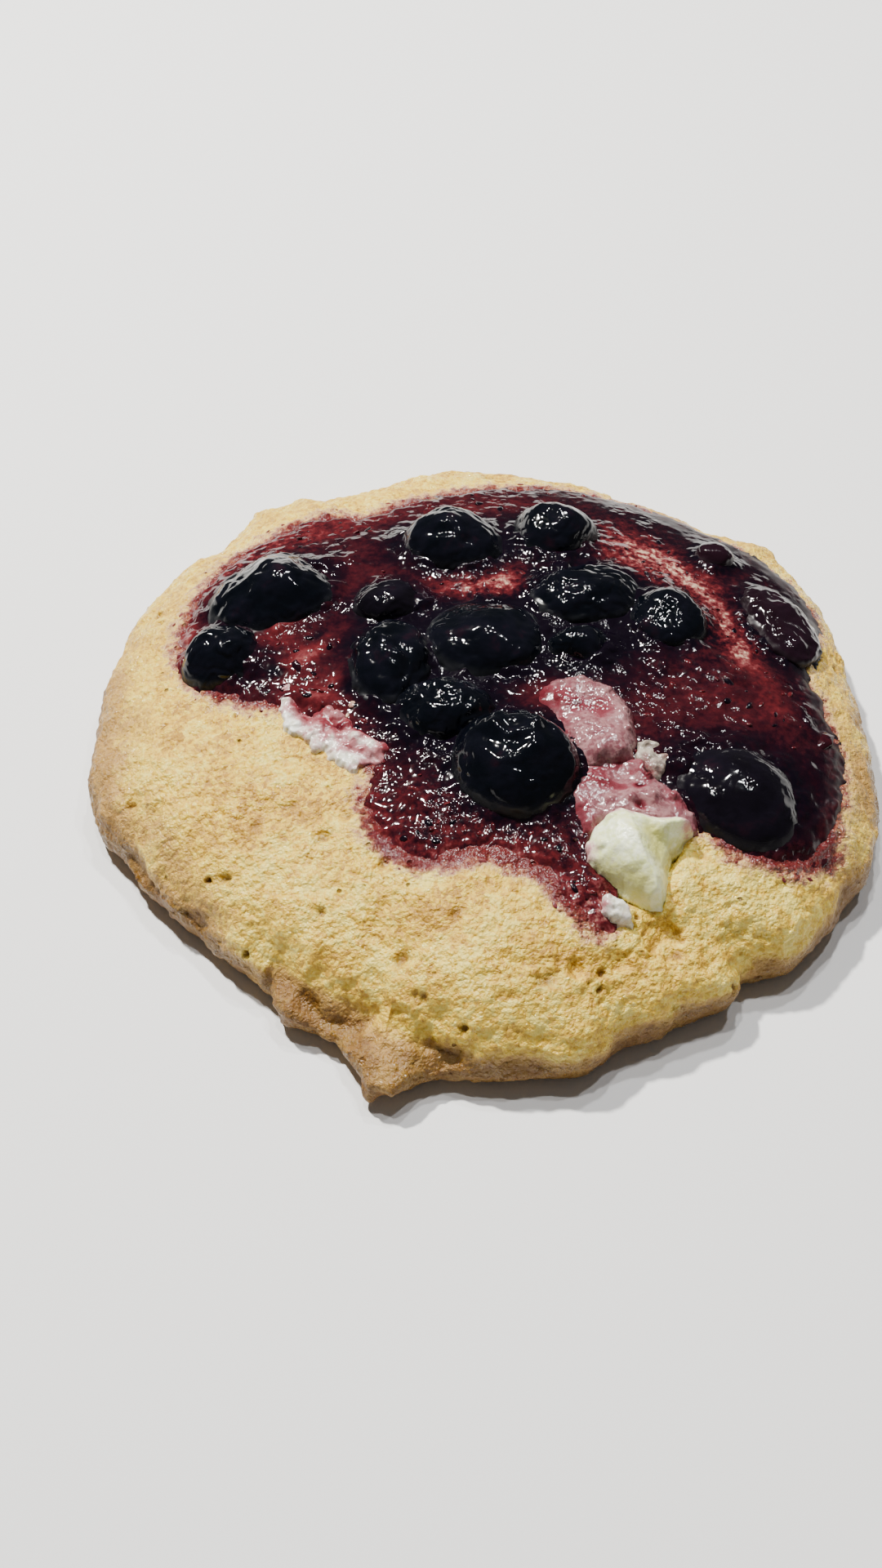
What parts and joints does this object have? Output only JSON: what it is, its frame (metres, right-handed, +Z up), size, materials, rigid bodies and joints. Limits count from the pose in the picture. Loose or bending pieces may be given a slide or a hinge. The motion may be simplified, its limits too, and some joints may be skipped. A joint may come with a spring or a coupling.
{
  "type": "blueberry cheesecake cookie",
  "caption": "Thick soft-baked round cookie with a blueberry jam layer, whole cooked berries and torn lumps of cream cheese baked into its top; rests on a flat base.",
  "frame": {"origin": "centre of the bounding box, on the surface that the cookie rests on", "axes": "+Z up, out of the topped side; -Y towards the picture's viewer, +X to the viewer's right"},
  "size_m": [0.0946, 0.0954, 0.0213],
  "materials": {
    "dough": "matt, fine baked crumb, browner at the edge",
    "jam": "wet gloss, deep red-purple",
    "berry_skin": "wet gloss, near-black blue, wrinkled",
    "cream_cheese": "soft satin, torn",
    "stained_cheese": "soft satin, stained pink by the jam"
  },
  "bodies": {
    "root": {"cookie": "dough", "jam": "jam", "berry_1": "berry_skin", "berry_2": "berry_skin", "berry_3": "berry_skin", "berry_4": "berry_skin", "berry_5": "berry_skin", "berry_6": "berry_skin", "berry_7": "berry_skin", "berry_8": "berry_skin", "berry_9": "berry_skin", "berry_10": "berry_skin", "berry_11": "berry_skin", "berry_12": "berry_skin", "berry_13": "berry_skin", "berry_14": "berry_skin", "berry_15": "berry_skin", "cheese_chunk": "cream_cheese", "cheese_curd": "cream_cheese", "cheese_mound": "stained_cheese", "cheese_lump": "stained_cheese", "cheese_fleck": "cream_cheese", "cheese_crumb": "cream_cheese"}
  },
  "joints": []
}
